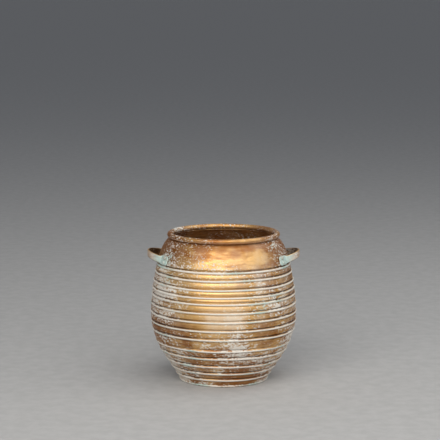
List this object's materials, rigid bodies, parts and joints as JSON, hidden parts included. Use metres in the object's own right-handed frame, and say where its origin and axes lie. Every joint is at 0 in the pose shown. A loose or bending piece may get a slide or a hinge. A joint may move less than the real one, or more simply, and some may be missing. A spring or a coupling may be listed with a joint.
{
  "type": "planter pot",
  "caption": "Bellied sheet-brass planter pot with horizontal ribs, a wired lip, a foot ring and two strap handles riveted to the shoulder.",
  "frame": {"origin": "on the axis of the pot, in the plane that the foot ring stands on", "axes": "+Z is the axis of the pot and points up out of its mouth; the two handles lie on the X axis; +Y is the back"},
  "size_m": [0.25, 0.241, 0.245],
  "materials": {
    "pot_brass": "aged satin brass with brown tarnish and a worn, chalky white patina that sits in the grooves and on the ribs",
    "lip_wire": "plain drawn wire, hidden in the lip",
    "base_brass": "dull, stained by soil and water",
    "foot_brass": "worn satin brass with pale patina",
    "solder": "dull grey soft solder",
    "handle_brass": "satin brass under white and blue-green patina, rubbed bright along its edges",
    "rivet_brass": "hammered heads, dulled by patina"
  },
  "bodies": {
    "root": {"upper_shell": "pot_brass", "lower_shell": "pot_brass", "rim_wire": "lip_wire", "base_disc": "base_brass", "foot_ring": "foot_brass", "seam_solder": "solder", "base_solder": "solder", "handle_right": "handle_brass", "handle_left": "handle_brass", "rivets_right": "rivet_brass", "rivets_left": "rivet_brass", "burrs_right": "rivet_brass", "burrs_left": "rivet_brass"}
  },
  "joints": []
}
